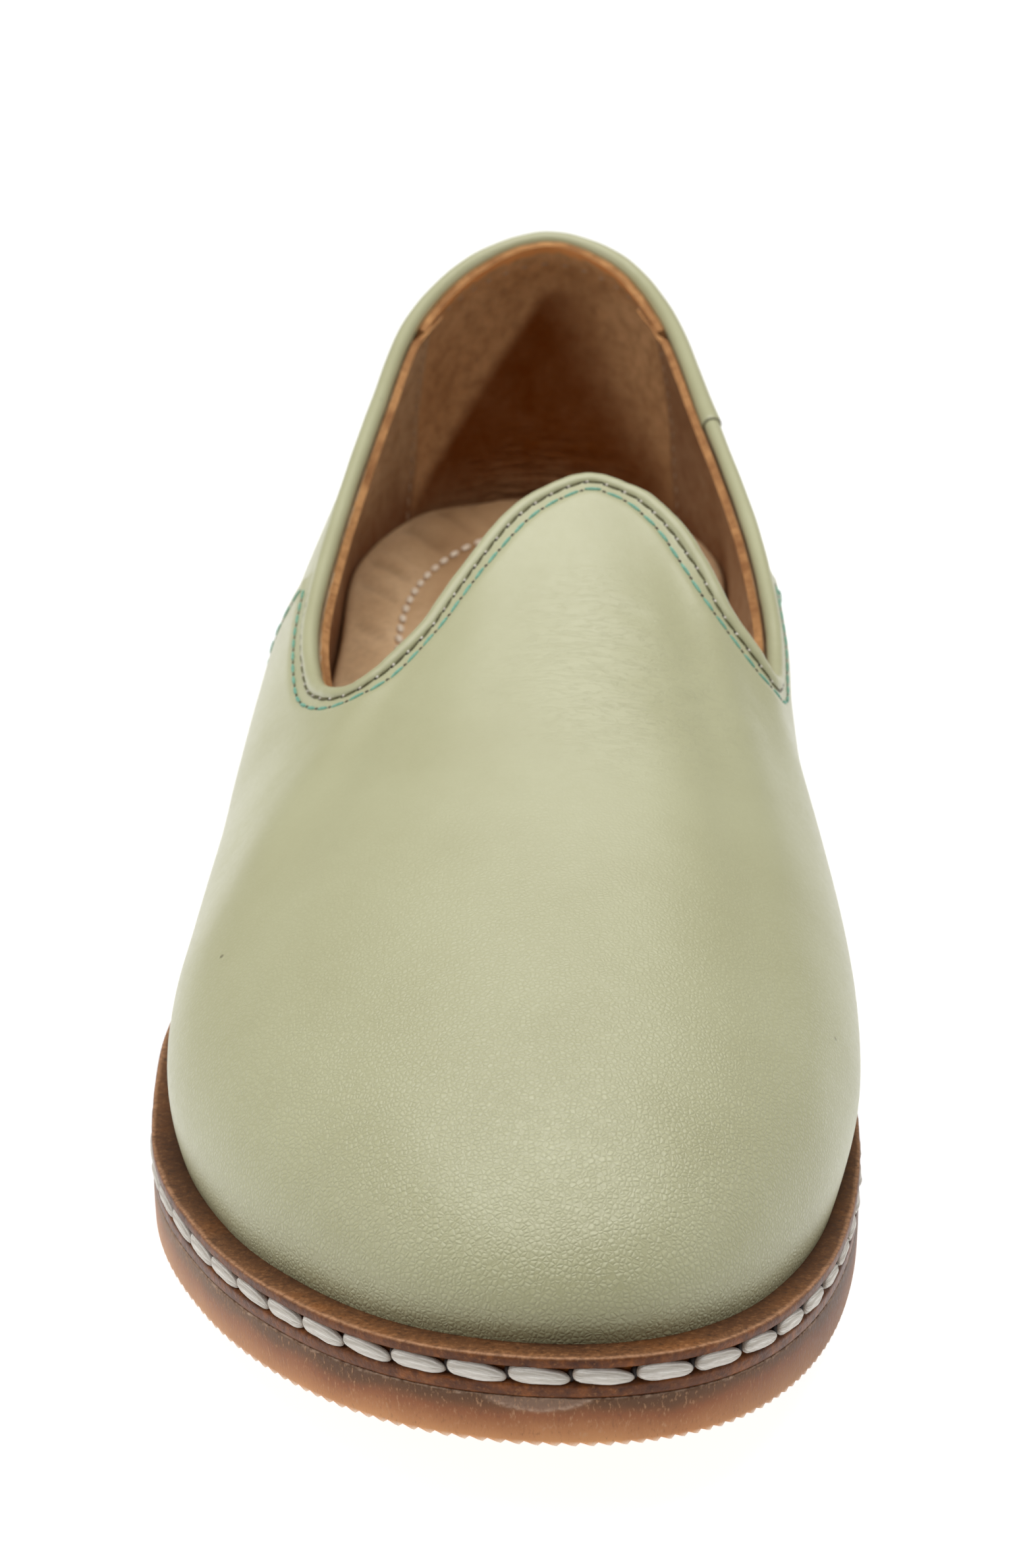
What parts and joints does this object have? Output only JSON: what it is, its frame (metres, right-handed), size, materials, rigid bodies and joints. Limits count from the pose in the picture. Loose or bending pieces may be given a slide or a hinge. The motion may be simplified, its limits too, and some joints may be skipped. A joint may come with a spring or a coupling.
{
  "type": "flat slip-on shoe",
  "caption": "Right-foot flat slip-on shoe with a scooped throat, rolled collar binding, soft leather upper, stitched leather midsole and gum rubber outsole.",
  "frame": {"origin": "middle of the sole's plan box, on the floor the shoe stands on", "axes": "toe to -Y, heel to +Y, inner side of the foot to +X, up +Z"},
  "size_m": [0.0922, 0.262, 0.0697],
  "materials": {
    "outsole": "satin translucent gum",
    "midsole": "burnished edge",
    "upper": "smooth satin",
    "collar_binding": "smooth satin",
    "insole": "unfinished tan"
  },
  "bodies": {
    "root": {"outsole": "outsole", "midsole": "midsole", "upper": "upper", "collar_binding": "collar_binding", "insole": "insole"}
  },
  "joints": []
}
